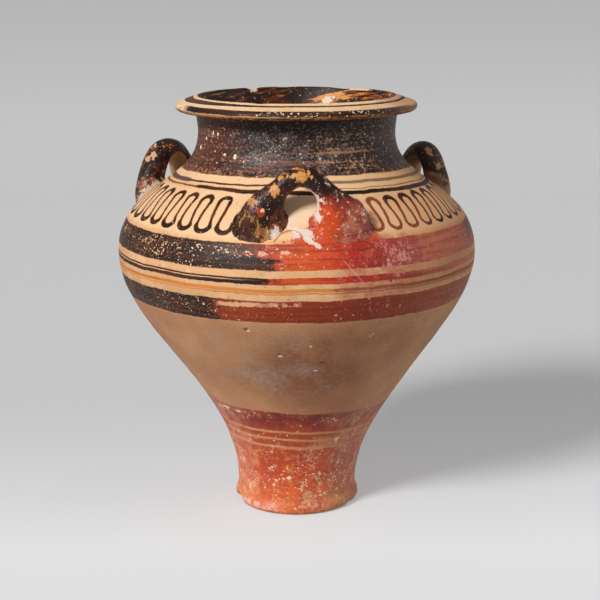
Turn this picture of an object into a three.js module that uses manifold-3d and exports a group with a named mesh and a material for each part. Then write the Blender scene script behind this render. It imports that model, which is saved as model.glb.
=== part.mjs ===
// Terracotta jar on a narrow foot, with three upright loop handles on its shoulder.
// The wall is built up in turned sections, each luted to the one below with slip.
// Millimetres, +Z up. The origin is on the jar's axis, in the plane it stands on.
// The front, with one of the handles, faces -Y.

import * as THREE from 'three';
import { mergeVertices } from 'three/addons/utils/BufferGeometryUtils.js';
import Module from 'manifold-3d';

const wasm = await Module();
wasm.setup();

// Clay and joints
const WALL = 4.5;               // wall thickness, square to the outer face
const SLIP = 0.35;              // layer of slip between two pieces that are joined
const SCARF = 4;                // how far a joint between two wall sections slants along the wall

// Foot and floor
const FOOT_HEIGHT = 8;          // table to the narrowest level of the stem
const FOOT_FLARE = 1.5;         // how far the foot's edge stands out from the stem
const FOOT_ROUND = 2.2;         // rounding of the foot's edge
const FOOT_HOLLOW = 4;          // depth of the hollow under the foot
const LEDGE_WIDTH = 4;          // ledge inside the foot that carries the floor
const FLOOR_THICKNESS = 6;

// Outline of the body, from the stem up to the lip
const STEM_RADIUS = 27.5;
const STEM_SWEEP = 47.7;        // how long the stem's line keeps upright before it opens out
const BELLY_RISE = 111;         // narrowest level of the stem to the widest level of the belly
const BELLY_RADIUS = 81;
const BELLY_SWEEP = 33.5;       // how long the belly's line keeps upright below its widest level
const SHOULDER_SWEEP = 30.4;    // and above it
const SHOULDER_RISE = 53;       // widest level of the belly to the narrowest level of the neck
const NECK_RADIUS = 44.4;
const NECK_SWEEP = 23.3;        // how long the neck's line keeps upright below its narrowest level
const NECK_RISE = 9.75;         // narrowest level of the neck to the underside of the lip
const NECK_FLARE = 1.1;         // how far the neck widens on that rise

// Lip
const LIP_OVERHANG = 9.7;       // how far the lip stands out from the neck
const LIP_THICKNESS = 3.6;      // at its rounded outer edge
const LIP_CROWN = 2.65;         // how far the mouth's edge stands above the outer edge
const MOUTH_FLARE = 3.4;        // how far the inside of the neck opens towards the mouth
const MOUTH_ROUND = 1.2;        // rounding of the mouth's edge

// Where the wall sections meet
const FOOT_SEAM = 6;            // above the narrowest level of the stem
const STEM_SEAM = 54;           // above the narrowest level of the stem
const BELLY_SEAM = 3;           // above the widest level of the belly
const NECK_SEAM = 12;           // below the narrowest level of the neck

// Handles: one coil of clay each, standing on the shoulder
const HANDLE_TURN = 2;          // degrees from the front to the front handle, towards +X
const SIDE_TURN = 117.5;        // degrees from the front handle to each of the others
const HANDLE_SPAN = 34;         // between the middles of the two roots
const HANDLE_ROOT_RISE = 22.8;  // widest level of the belly to the roots
const HANDLE_RISE = 18.4;       // roots to the middle of the coil at the top of the arch
const HANDLE_LEAN = 0.6;        // how far the top of the arch leans in towards the neck
const HANDLE_TOP_REACH = 7;     // how far the top of the arch keeps level to each side
const LEG_REACH = 9;            // how far each leg keeps its line above the root
const LEG_SPLAY = 2.4;          // how far each leg spreads on that reach
const COIL_TOP = 9.2;           // thickness of the coil at the top of the arch
const EVEN_SHARE = 0.35;        // share of the way from the top to a root on which it keeps so
const ROOT_WIDTH = 16;          // width of the coil where it spreads at the roots
const ROOT_DEPTH = 11;          // and its thickness there, away from the neck
const ROOT_BEND = 9;            // how far below the root its end has turned in, inside the wall
const SEAT_DEPTH = 1.5;         // how deep a root is set into the shoulder

// Pads: wads of clay pressed round each root
const PAD_WIDTH = 14;           // round the jar
const PAD_HEIGHT = 16;          // along the shoulder's slope
const PAD_THICKNESS = 3.6;      // above the shoulder
const PAD_OUTSET = 4;           // how far the pad's middle lies outside the root's middle
const PAD_DROP = 0.5;           // and below it

// Facets
const TURN_SEGMENTS = 48;
const WALL_STEP = 9;            // height of one facet of the wall
const ARC_STEPS = 4;
const COIL_SIDES = 12;
const COIL_STEPS = 22;
const PAD_SEGMENTS = 14;
const MERGE_DISTANCE = 1e-4;
const HALVINGS = 40;            // of the search for the point of a curve at a height

// Levels that follow from the sizes above
const bellyLevel = FOOT_HEIGHT + BELLY_RISE;
const neckLevel = bellyLevel + SHOULDER_RISE;
const neckTop = neckLevel + NECK_RISE;
const rootLevel = bellyLevel + HANDLE_ROOT_RISE;
const recessRadius = STEM_RADIUS - WALL;

const HANDLES = [
  { name: 'front_handle', turn: HANDLE_TURN },
  { name: 'right_handle', turn: HANDLE_TURN + SIDE_TURN },
  { name: 'left_handle', turn: HANDLE_TURN - SIDE_TURN },
];

const point = (radius, height) => new THREE.Vector2(radius, height);

// The outer face of the wall in profile, as curves that climb from one level to the next
const outline = [
  new THREE.CubicBezierCurve(
    point(STEM_RADIUS, FOOT_HEIGHT),
    point(STEM_RADIUS, FOOT_HEIGHT + STEM_SWEEP),
    point(BELLY_RADIUS, bellyLevel - BELLY_SWEEP),
    point(BELLY_RADIUS, bellyLevel),
  ),
  new THREE.CubicBezierCurve(
    point(BELLY_RADIUS, bellyLevel),
    point(BELLY_RADIUS, bellyLevel + SHOULDER_SWEEP),
    point(NECK_RADIUS, neckLevel - NECK_SWEEP),
    point(NECK_RADIUS, neckLevel),
  ),
  new THREE.QuadraticBezierCurve(
    point(NECK_RADIUS, neckLevel),
    point(NECK_RADIUS, neckLevel + NECK_RISE / 2),
    point(NECK_RADIUS + NECK_FLARE, neckTop),
  ),
];

// The point of the outer face at a height, and the direction square to it
function outerFace(height) {
  const curve = outline.find((part) => height <= part.getPoint(1).y) ?? outline.at(-1);
  let low = 0;
  let high = 1;
  for (let halving = 0; halving < HALVINGS; halving += 1) {
    const middle = (low + high) / 2;
    if (curve.getPoint(middle).y < height) {
      low = middle;
    } else {
      high = middle;
    }
  }
  const along = curve.getTangent(high);
  return { at: curve.getPoint(high), normal: point(along.y, -along.x) };
}

// The same point moved square to the face: out by a positive offset, in by a negative one
function offsetFace(height, offset) {
  const { at, normal } = outerFace(height);
  return at.addScaledVector(normal, offset);
}

function heightsBetween(from, to) {
  const steps = Math.max(1, Math.round(Math.abs(to - from) / WALL_STEP));
  return Array.from({ length: steps + 1 }, (unused, step) => from + ((to - from) * step) / steps);
}

// Points of an arc in profile, from one angle to another in degrees
function arc(centre, radius, fromAngle, toAngle) {
  return Array.from({ length: ARC_STEPS + 1 }, (unused, step) => {
    const angle = THREE.MathUtils.degToRad(fromAngle + ((toAngle - fromAngle) * step) / ARC_STEPS);
    return point(centre.x + radius * Math.cos(angle), centre.y + radius * Math.sin(angle));
  });
}

// A closed profile turned about the jar's axis
function turned(profile) {
  const geometry = new THREE.LatheGeometry([...profile, profile[0]], TURN_SEGMENTS);
  return geometry.rotateX(Math.PI / 2);
}

// A closed surface as a solid that can be cut
function solidOf(geometry) {
  const bare = geometry.clone();
  bare.deleteAttribute('normal');
  bare.deleteAttribute('uv');
  const merged = mergeVertices(bare, MERGE_DISTANCE);
  const corners = merged.index.array;
  const triangles = [];
  for (let first = 0; first < corners.length; first += 3) {
    const [a, b, c] = corners.slice(first, first + 3);
    if (a !== b && b !== c && c !== a) {
      triangles.push(a, b, c);
    }
  }
  return new wasm.Manifold(new wasm.Mesh({
    numProp: 3,
    vertProperties: merged.attributes.position.array,
    triVerts: Uint32Array.from(triangles),
  }));
}

function geometryOf(solid) {
  const { vertProperties, triVerts } = solid.getMesh();
  const geometry = new THREE.BufferGeometry();
  geometry.setAttribute('position', new THREE.BufferAttribute(vertProperties, 3));
  geometry.setIndex(new THREE.BufferAttribute(triVerts, 1));
  geometry.computeVertexNormals();
  return geometry;
}

// A joint slants through the wall: its outer end lies above its inner end, so that the
// section above sits in the one below like a plug in a cup
function seamAt(level) {
  return { outer: level + SCARF / 2, inner: level - SCARF / 2 };
}

const footSeam = seamAt(FOOT_HEIGHT + FOOT_SEAM);
const stemSeam = seamAt(FOOT_HEIGHT + STEM_SEAM);
const bellySeam = seamAt(bellyLevel + BELLY_SEAM);
const neckSeam = seamAt(neckLevel - NECK_SEAM);
const lipSeam = { outer: neckTop, inner: neckTop - SCARF };

// A section of the wall between two joints: up its outer face and down its inner face
function wallSection(lower, upper) {
  const outside = heightsBetween(lower.outer + SLIP, upper.outer).map((height) => offsetFace(height, 0));
  const inside = heightsBetween(upper.inner, lower.inner + SLIP).map((height) => offsetFace(height, -WALL));
  return turned([...outside, ...inside]);
}

// The foot: a flat standing ring with a rounded edge, a hollow below, and a ledge for the floor
function footRing() {
  const footRadius = STEM_RADIUS + FOOT_FLARE;
  const edge = arc(point(footRadius - FOOT_ROUND, FOOT_ROUND), FOOT_ROUND, -90, 0);
  const halfway = (FOOT_ROUND + FOOT_HEIGHT) / 2;
  const flare = new THREE.CubicBezierCurve(
    point(footRadius, FOOT_ROUND),
    point(footRadius, halfway),
    point(STEM_RADIUS, halfway),
    point(STEM_RADIUS, FOOT_HEIGHT),
  ).getPoints(ARC_STEPS).slice(1, -1);
  const stem = heightsBetween(FOOT_HEIGHT, footSeam.outer).map((height) => offsetFace(height, 0));
  const recessTop = offsetFace(footSeam.inner, -WALL);
  const hollowRadius = recessRadius - LEDGE_WIDTH;
  return turned([
    ...edge,
    ...flare,
    ...stem,
    recessTop,
    point(recessRadius, FOOT_HOLLOW),
    point(hollowRadius, FOOT_HOLLOW),
    point(hollowRadius, 0),
  ]);
}

// The floor: a disc that lies on the foot's ledge
function floorDisc() {
  const bottom = FOOT_HOLLOW + SLIP;
  const radius = recessRadius - SLIP;
  return turned([
    point(0, bottom),
    point(radius, bottom),
    point(radius, bottom + FLOOR_THICKNESS),
    point(0, bottom + FLOOR_THICKNESS),
  ]);
}

// The lip: level below, rounded at its outer edge, and sloping up from there to the mouth
function lipRing() {
  const under = neckTop + SLIP;
  const edgeRadius = LIP_THICKNESS / 2;
  const mouthRadius = NECK_RADIUS - WALL + MOUTH_FLARE;
  const top = under + LIP_THICKNESS + LIP_CROWN;
  const edgeCentre = point(NECK_RADIUS + LIP_OVERHANG - edgeRadius, under + edgeRadius);
  const mouthCentre = point(mouthRadius + MOUTH_ROUND, top - MOUTH_ROUND);
  const across = mouthCentre.clone().sub(edgeCentre);
  const slope = THREE.MathUtils.radToDeg(Math.atan2(-across.y, -across.x));
  const lean = THREE.MathUtils.radToDeg(Math.asin((edgeRadius - MOUTH_ROUND) / across.length()));
  const squareToTop = 90 + slope - lean;
  return turned([
    point(NECK_RADIUS + NECK_FLARE, under),
    ...arc(edgeCentre, edgeRadius, -90, squareToTop),
    ...arc(mouthCentre, MOUTH_ROUND, squareToTop, 180),
    offsetFace(lipSeam.inner + SLIP, -WALL),
  ]);
}

// The space that the jar's body fills, out to its outer face moved by an offset, with the same
// facets as the wall, as it lies for a handle that is later turned by so many degrees
function bodySpace(offset, turn) {
  const face = [
    ...heightsBetween(stemSeam.outer + SLIP, bellySeam.outer),
    ...heightsBetween(bellySeam.outer + SLIP, neckSeam.outer),
    ...heightsBetween(neckSeam.outer + SLIP, lipSeam.outer),
  ].map((height) => offsetFace(height, offset));
  const space = turned([point(0, face[0].y), ...face, point(0, face.at(-1).y)]);
  return solidOf(space.rotateZ(-THREE.MathUtils.degToRad(turn)));
}

// The point of the outer face at a height and a distance beside the front, with the directions
// straight out, round the jar, up the slope and square to the face
function placeOnFace(beside, height) {
  const { at, normal } = outerFace(height);
  const turn = Math.asin(beside / at.x);
  const outwards = new THREE.Vector3(Math.sin(turn), -Math.cos(turn), 0);
  const round = new THREE.Vector3(Math.cos(turn), Math.sin(turn), 0);
  const square = outwards.clone().multiplyScalar(normal.x).setZ(normal.y);
  return {
    at: outwards.clone().multiplyScalar(at.x).setZ(at.y),
    outwards,
    round,
    square,
    upSlope: square.clone().cross(round),
  };
}

// The middle line of the front handle: up out of the shoulder, over the arch and down again
function handlePath() {
  const path = new THREE.CurvePath();
  const right = placeOnFace(HANDLE_SPAN / 2, rootLevel);
  const top = new THREE.Vector3(0, right.at.y + HANDLE_LEAN, rootLevel + HANDLE_RISE);
  const bend = right.at.clone().add(new THREE.Vector3(0, 0, -ROOT_BEND));
  const buried = bend.clone().addScaledVector(right.outwards, -ROOT_BEND);
  const leg = right.at.clone().add(new THREE.Vector3(-LEG_SPLAY, 0, LEG_REACH));
  const reach = top.clone().add(new THREE.Vector3(HANDLE_TOP_REACH, 0, 0));
  const mirrored = (place) => place.clone().multiply(new THREE.Vector3(-1, 1, 1));
  path.add(new THREE.QuadraticBezierCurve3(mirrored(buried), mirrored(bend), mirrored(right.at)));
  path.add(new THREE.CubicBezierCurve3(mirrored(right.at), mirrored(leg), mirrored(reach), top));
  path.add(new THREE.CubicBezierCurve3(top, reach, leg, right.at));
  path.add(new THREE.QuadraticBezierCurve3(right.at, bend, buried));
  return path;
}

// A coil along an arched path that stands square to Y: round at its top, spread from there to its
// roots, and closed by flat caps; extra is added to its thickness on every side
function coil(path, extra) {
  const rings = [];
  const across = new THREE.Vector3(0, 1, 0);
  const lengths = path.getCurveLengths();
  const archShare = (lengths[2] - lengths[0]) / lengths[3];
  for (let step = 0; step <= COIL_STEPS; step += 1) {
    const along = step / COIL_STEPS;
    const middle = path.getPointAt(along);
    const tangent = path.getTangentAt(along);
    const inPlane = across.clone().cross(tangent).normalize();
    const square = tangent.clone().cross(inPlane);
    const fromTop = Math.min(1, Math.abs(2 * along - 1) / archShare);
    const spread = THREE.MathUtils.smoothstep(fromTop, EVEN_SHARE, 1);
    const halfWidth = THREE.MathUtils.lerp(COIL_TOP, ROOT_WIDTH, spread) / 2 + extra;
    const halfDepth = THREE.MathUtils.lerp(COIL_TOP, ROOT_DEPTH, spread) / 2 + extra;
    for (let side = 0; side < COIL_SIDES; side += 1) {
      const angle = (2 * Math.PI * side) / COIL_SIDES;
      rings.push(middle.clone()
        .addScaledVector(inPlane, halfWidth * Math.cos(angle))
        .addScaledVector(square, halfDepth * Math.sin(angle)));
    }
  }
  const first = rings.length;
  const last = first + 1;
  rings.push(path.getPointAt(0), path.getPointAt(1));
  const corners = [];
  for (let side = 0; side < COIL_SIDES; side += 1) {
    const next = (side + 1) % COIL_SIDES;
    const end = COIL_STEPS * COIL_SIDES;
    corners.push(first, next, side, last, end + side, end + next);
    for (let step = 0; step < COIL_STEPS; step += 1) {
      const near = step * COIL_SIDES;
      const far = near + COIL_SIDES;
      corners.push(near + side, near + next, far + next, near + side, far + next, far + side);
    }
  }
  const geometry = new THREE.BufferGeometry().setFromPoints(rings);
  return geometry.setIndex(corners);
}

// A flat oval wad lying on the shoulder round one root; side is 1 for the right, -1 for the left
function wad(side) {
  const beside = side * (HANDLE_SPAN / 2 + PAD_OUTSET);
  const { at, round, upSlope, square } = placeOnFace(beside, rootLevel - PAD_DROP);
  const size = new THREE.Vector3(PAD_WIDTH / 2, PAD_HEIGHT / 2, PAD_THICKNESS);
  const frame = new THREE.Matrix4().makeBasis(round, upSlope, square).setPosition(at).scale(size);
  return new THREE.SphereGeometry(1, PAD_SEGMENTS, PAD_SEGMENTS / 2).applyMatrix4(frame);
}

const clay = (color, roughness) => new THREE.MeshStandardMaterial({ color, roughness, metalness: 0 });
const BUFF = clay(0xc59a6c, 0.75);
const DARK_SLIP = clay(0x33221b, 0.5);
const RED_SLIP = clay(0xa34b2c, 0.6);

const jar = new THREE.Group();

function addPiece(parent, name, geometry, material) {
  const mesh = new THREE.Mesh(geometry, material);
  mesh.name = name;
  parent.add(mesh);
}

// The coil of a handle before it is trimmed, bare and with its slip
const path = handlePath();
const bareCoil = solidOf(coil(path, 0));
const coilWithSlip = solidOf(coil(path, SLIP));

// A section of the wall with the seats of all the handles cut into it
function withSeats(section) {
  let solid = solidOf(section);
  for (const { turn } of HANDLES) {
    const seats = geometryOf(coilWithSlip.subtract(bodySpace(-SEAT_DEPTH - SLIP, turn)));
    solid = solid.subtract(solidOf(seats.rotateZ(THREE.MathUtils.degToRad(turn))));
  }
  return geometryOf(solid);
}

// A pad: the wad, cut where the shoulder and the coil are
function pad(side, turn) {
  return geometryOf(solidOf(wad(side)).subtract(bodySpace(SLIP, turn)).subtract(coilWithSlip));
}

addPiece(jar, 'foot_ring', footRing(), RED_SLIP);
addPiece(jar, 'floor_disc', floorDisc(), BUFF);
addPiece(jar, 'stem_wall', wallSection(footSeam, stemSeam), RED_SLIP);
addPiece(jar, 'belly_wall', withSeats(wallSection(stemSeam, bellySeam)), BUFF);
addPiece(jar, 'shoulder_wall', withSeats(wallSection(bellySeam, neckSeam)), BUFF);
addPiece(jar, 'neck_collar', withSeats(wallSection(neckSeam, lipSeam)), DARK_SLIP);
addPiece(jar, 'lip_ring', lipRing(), DARK_SLIP);

for (const { name, turn } of HANDLES) {
  const handle = new THREE.Group();
  handle.rotation.z = THREE.MathUtils.degToRad(turn);
  addPiece(handle, name, geometryOf(bareCoil.subtract(bodySpace(-SEAT_DEPTH, turn))), DARK_SLIP);
  addPiece(handle, `${name}_left_pad`, pad(-1, turn), DARK_SLIP);
  addPiece(handle, `${name}_right_pad`, pad(1, turn), DARK_SLIP);
  jar.add(handle);
}

export default jar;
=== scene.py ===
"""A painted terracotta jar with three loop handles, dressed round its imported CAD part.

Lengths are in millimetres until they go into a mesh, in the CAD part's frame: +Z up along the jar's
axis, the front handle towards -Y. Places round the jar are given as turns from the front, growing
towards +X: in radians for shapes and in degrees for paint.
"""

import math
from functools import cached_property

import bpy
import numpy as np
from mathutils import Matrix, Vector


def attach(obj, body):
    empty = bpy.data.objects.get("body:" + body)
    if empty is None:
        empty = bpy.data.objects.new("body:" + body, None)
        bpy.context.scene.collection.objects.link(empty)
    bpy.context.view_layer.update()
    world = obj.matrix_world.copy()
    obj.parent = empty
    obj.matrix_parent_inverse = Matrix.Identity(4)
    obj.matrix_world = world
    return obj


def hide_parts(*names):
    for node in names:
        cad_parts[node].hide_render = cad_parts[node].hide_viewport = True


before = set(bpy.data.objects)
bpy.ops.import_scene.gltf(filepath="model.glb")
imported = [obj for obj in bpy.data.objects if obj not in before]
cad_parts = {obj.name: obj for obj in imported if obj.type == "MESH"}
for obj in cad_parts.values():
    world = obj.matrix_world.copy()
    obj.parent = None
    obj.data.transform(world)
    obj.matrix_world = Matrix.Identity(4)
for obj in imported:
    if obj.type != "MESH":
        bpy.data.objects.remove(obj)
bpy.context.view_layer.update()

METRES = 0.001

# Outline of the jar, as in the CAD source
WALL = 4.5
SLIP = 0.35
FOOT_HEIGHT = 8.0
FOOT_FLARE = 1.5
FOOT_ROUND = 2.2
FOOT_HOLLOW = 4.0
LEDGE_WIDTH = 4.0
FLOOR_THICKNESS = 6.0
STEM_RADIUS = 27.5
STEM_SWEEP = 47.7
BELLY_LEVEL = 119.0
BELLY_RADIUS = 81.0
BELLY_SWEEP = 33.5
SHOULDER_SWEEP = 30.4
NECK_LEVEL = 172.0
NECK_RADIUS = 44.4
NECK_SWEEP = 23.3
NECK_TOP = 181.75
NECK_FLARE = 1.1
LIP_OVERHANG = 9.7
LIP_THICKNESS = 3.6
LIP_CROWN = 2.65
MOUTH_FLARE = 3.4
MOUTH_ROUND = 1.2

# The potter's hand: the rim is higher on the right and at the back, the lower body fuller on the right
RIM_TILT_RIGHT = 0.003
RIM_TILT_BACK = 0.010
TILT_FROM = 150.0
FULLER_BY = 2.3
FULLER_LEVEL = 52.0
FULLER_REACH = 27.0

# Where the wall sections meet
SCARF = 4.0
SEAMS = {"foot": 14.0, "stem": 62.0, "belly": 122.0, "neck": 160.0}

# Handles: left and right are how far each root lies from the handle's middle, as seen from outside,
# skew is how far the top of the arch lies to the right, rise how high it stands over the roots, lean
# how far it leans in to the neck and top_reach how far it runs on level. Top and depth are the width
# and depth of the coil at its top, and widths and depths those of its roots. Phase shifts its lumps,
# bare_from is the cosine, round the coil from its loop side, where bare clay ends, and pad is the
# thickness of its pads
ROOT_LEVEL = 141.8
LEG_REACH = 9.0
LEG_SPLAY = 2.4
EVEN_SHARE = 0.35
ROOT_BEND = 9.0
FILLET = 2.4
SINK = 1.2
LUMPINESS = 0.035
BARE_SOFT = 0.2
HANDLES = [
    {
        "name": "front_handle", "turn": 2.0, "left": 17.0, "right": 15.4, "skew": 0.0, "rise": 18.8,
        "lean": 0.6, "top_reach": 7.0, "phase": 0.0, "bare_from": 0.85, "pad": 2.4, "top": 8.4,
        "depth": 9.2, "widths": (19.5, 23.0), "depths": (11.0, 11.0),
    },
    {
        "name": "right_handle", "turn": 119.5, "left": 11.6, "right": 15.0, "skew": -1.5, "rise": 17.5,
        "lean": 1.5, "top_reach": 7.0, "phase": 1.7, "bare_from": 0.3, "pad": 2.2, "top": 9.2,
        "depth": 11.2, "widths": (16.0, 16.0), "depths": (9.4, 12.0),
    },
    {
        "name": "left_handle", "turn": -115.5, "left": 18.6, "right": 14.3, "skew": 0.0, "rise": 19.3,
        "lean": 1.1, "top_reach": 9.0, "phase": 3.9, "bare_from": 0.3, "pad": 2.2, "top": 9.2,
        "depth": 12.2, "widths": (16.0, 16.0), "depths": (13.0, 11.6),
    },
]
ROOT_REACH = 8.0
PAD_WIDTH = 15.0
PAD_HEIGHT = 18.0
PAD_OUTSET = 4.0

# Fineness of the meshes
COLUMNS = 288
ROW_STEP = 1.3
CURVE_STEPS = 60
COIL_RINGS = 110
COIL_SIDES = 72
PAD_RINGS = 12
PAD_SIDES = 60
SLOPE_STEP = 0.4


# Shape of the wall


def bezier(*controls):
    """Points along the Bezier curve of some control points."""
    share = np.linspace(0, 1, CURVE_STEPS + 1)[:, None]
    level = [np.array(control, float) + 0 * share for control in controls]
    while len(level) > 1:
        level = [start + (end - start) * share for start, end in zip(level, level[1:])]
    return level[0]


def arc(centre, radius, start, end, steps=10):
    """Points of an arc in profile, from one angle to another in degrees."""
    angles = np.radians(np.linspace(start, end, steps + 1))
    return np.array(centre) + radius * np.stack([np.cos(angles), np.sin(angles)], -1)


outline = np.vstack([
    bezier(
        (STEM_RADIUS, FOOT_HEIGHT),
        (STEM_RADIUS, FOOT_HEIGHT + STEM_SWEEP),
        (BELLY_RADIUS, BELLY_LEVEL - BELLY_SWEEP),
        (BELLY_RADIUS, BELLY_LEVEL),
    ),
    bezier(
        (BELLY_RADIUS, BELLY_LEVEL),
        (BELLY_RADIUS, BELLY_LEVEL + SHOULDER_SWEEP),
        (NECK_RADIUS, NECK_LEVEL - NECK_SWEEP),
        (NECK_RADIUS, NECK_LEVEL),
    )[1:],
    bezier(
        (NECK_RADIUS, NECK_LEVEL),
        (NECK_RADIUS, (NECK_LEVEL + NECK_TOP) / 2),
        (NECK_RADIUS + NECK_FLARE, NECK_TOP),
    )[1:],
])


def wall_radius(height):
    return np.interp(height, outline[:, 1], outline[:, 0])


def wall_slope(height):
    return (wall_radius(height + SLOPE_STEP) - wall_radius(height - SLOPE_STEP)) / (2 * SLOPE_STEP)


def hand_thrown(turn, height):
    """How far the thrown wall stands out from an even round."""
    rightness = ((1 + np.sin(turn)) / 2) ** 2
    fuller = rightness * np.exp(-(((height - FULLER_LEVEL) / FULLER_REACH) ** 2))
    return (
        FULLER_BY * fuller
        + 0.25 * np.cos(2 * turn + 0.7)
        + 0.12 * np.cos(3 * turn - 0.4 + height / 60)
        + 0.05 * np.sin(height / 3.1 + turn)
        + 0.04 * np.sin(height / 1.7 - 2 * turn)
    )


def wall_profile(heights, inset=0.0):
    """Points of the wall in profile, moved in square to its face, and their outward normals."""
    slope = wall_slope(heights)
    normals = np.stack([1 + 0 * slope, -slope], -1) / np.sqrt(1 + slope**2)[:, None]
    points = np.stack([wall_radius(heights), heights], -1) - inset * normals
    return points, normals


def wall_normal(turn, height):
    slope = wall_slope(height)
    out = np.stack([np.sin(turn), -np.cos(turn), -slope], -1)
    return out / np.linalg.norm(out, axis=-1, keepdims=True)


def wall_point(turn, height):
    radius = wall_radius(height) + hand_thrown(turn, height)
    return np.stack([radius * np.sin(turn), -radius * np.cos(turn), height + 0 * turn], -1)


def turn_of(points):
    return np.arctan2(points[..., 0], -points[..., 1])


def wall_gap(points):
    """How far points lie outside the wall, about square to it."""
    radius = np.hypot(points[..., 0], points[..., 1])
    height = points[..., 2]
    beside = radius - wall_radius(height) - hand_thrown(turn_of(points), height)
    return beside / np.sqrt(1 + wall_slope(height) ** 2)


def smooth_step(value, low=0.0, high=1.0):
    share = np.clip((value - low) / (high - low), 0, 1)
    return share * share * (3 - 2 * share)


# Meshes


def placed(name, data):
    made = bpy.data.objects.new(name, data)
    bpy.context.scene.collection.objects.link(made)
    return made


def make_piece(name, points, faces, material, normals=None, marks=None):
    """A smooth-shaded piece that stands for the CAD node of its name; its paint reads the marks."""
    mesh = bpy.data.meshes.new(name)
    mesh.from_pydata((points * METRES).tolist(), [], faces)
    mesh.validate()
    mesh.polygons.foreach_set("use_smooth", [True] * len(mesh.polygons))
    for mark, values in (marks or {}).items():
        attribute = mesh.attributes.new(mark, "FLOAT", "POINT")
        attribute.data.foreach_set("value", np.ascontiguousarray(values, np.float32))
    if normals is not None:
        mesh.normals_split_custom_set_from_vertices(normals.tolist())
    mesh.materials.append(material)
    piece = placed(name, mesh)
    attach(piece, "root")
    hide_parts(name)


def loop_faces(rows, columns, closed):
    """Quads of a grid whose columns close to a ring, and whose rows may too."""
    faces = []
    for row in range(rows if closed else rows - 1):
        above = (row + 1) % rows
        for column in range(columns):
            beside = (column + 1) % columns
            faces.append((
                row * columns + column,
                row * columns + beside,
                above * columns + beside,
                above * columns + column,
            ))
    return faces


TURNS = np.linspace(0, 2 * math.pi, COLUMNS, endpoint=False)


def tilted(points):
    """Points with the tilt of the rim, which grows from the shoulder up."""
    share = smooth_step(points[..., 2], TILT_FROM, NECK_TOP)
    lift = (RIM_TILT_RIGHT * points[..., 0] + RIM_TILT_BACK * points[..., 1]) * share
    return points + np.stack([0 * lift, 0 * lift, lift], -1)


def spun(profile):
    """A profile carried round the axis by the potter's hand."""
    radius = profile[:, 0][:, None]
    height = profile[:, 1][:, None]
    standing_out = np.where(radius > 1, hand_thrown(TURNS[None], height), 0)
    reach = radius + standing_out
    return tilted(np.stack([reach * np.sin(TURNS), -reach * np.cos(TURNS), height + 0 * reach], -1))


def spun_normals(normals):
    out = normals[:, 0][:, None]
    up = normals[:, 1][:, None]
    return np.stack([out * np.sin(TURNS), -out * np.cos(TURNS), up + 0 * TURNS], -1)


def heights_between(low, high):
    return np.linspace(low, high, max(2, round(abs(high - low) / ROW_STEP) + 1))


def ring_piece(name, parts, material, shape=None):
    """A closed ring from parts of its profile: points, normals or None, and 1 where they face inwards."""
    profile = np.vstack([points for points, normals, inside in parts])
    square = [np.zeros_like(points) if normals is None else normals for points, normals, inside in parts]
    inside = np.concatenate([np.full(len(points), inside) for points, normals, inside in parts])
    points = spun(profile)
    if shape is not None:
        points = shape(points)
    normals = spun_normals(np.vstack(square)).reshape(-1, 3)
    marks = {"inside": np.repeat(inside, COLUMNS)}
    faces = loop_faces(len(profile), COLUMNS, closed=True)
    make_piece(name, points.reshape(-1, 3), faces, material, normals, marks)


def pressed(points, turn, height, radius, push, width, tall):
    """Points pushed by a vector, out from the axis and up, round one place, as by a chip."""
    at = np.array([radius * math.sin(turn), -radius * math.cos(turn), height])
    away = points - at
    across = np.hypot(away[..., 0], away[..., 1]) / width
    share = np.exp(-(across**2) - (away[..., 2] / tall) ** 2)[..., None]
    out, up = push
    return points + share * np.array([out * math.sin(turn), -out * math.cos(turn), up])


# Tools for paint


def rgb(code):
    """A colour written as six hexadecimal digits of sRGB, as shaders take it."""
    shares = [int(code[first : first + 2], 16) / 255 for first in (0, 2, 4)]
    linear = [((share + 0.055) / 1.055) ** 2.4 if share > 0.04045 else share / 12.92 for share in shares]
    return (*linear, 1.0)


class Value:
    """A number that a material works out at each point, for use in formulas."""

    def __init__(self, paint, socket):
        self.paint = paint
        self.socket = socket

    def __add__(self, other):
        return self.paint.maths("ADD", self, other)

    def __sub__(self, other):
        return self.paint.maths("SUBTRACT", self, other)

    def __mul__(self, other):
        return self.paint.maths("MULTIPLY", self, other)

    def __truediv__(self, other):
        return self.paint.maths("DIVIDE", self, other)

    def __rsub__(self, other):
        return self.paint.maths("SUBTRACT", other, self)

    def __neg__(self):
        return self * -1

    def __abs__(self):
        return self.paint.maths("ABSOLUTE", self)

    __radd__ = __add__
    __rmul__ = __mul__

    def at_most(self, other):
        return self.paint.maths("MINIMUM", self, other)

    def at_least(self, other):
        return self.paint.maths("MAXIMUM", self, other)

    def above(self, edge, soft):
        """1 above an edge and 0 below it, changing over softly."""
        return self.paint.step(self - edge, soft)

    def below(self, edge, soft):
        return self.paint.step(edge - self, soft)

    def between(self, low, high, soft):
        return self.above(low, soft) * self.below(high, soft)

    def near(self, centre, reach, soft):
        return self.paint.step(reach - abs(self - centre), soft)


class Colour:
    """A colour that a material works out at each point, over which others are laid."""

    def __init__(self, paint, socket):
        self.paint = paint
        self.socket = socket

    def lay(self, share, over):
        self.socket = self.paint.blend(share, self, over).socket


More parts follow.
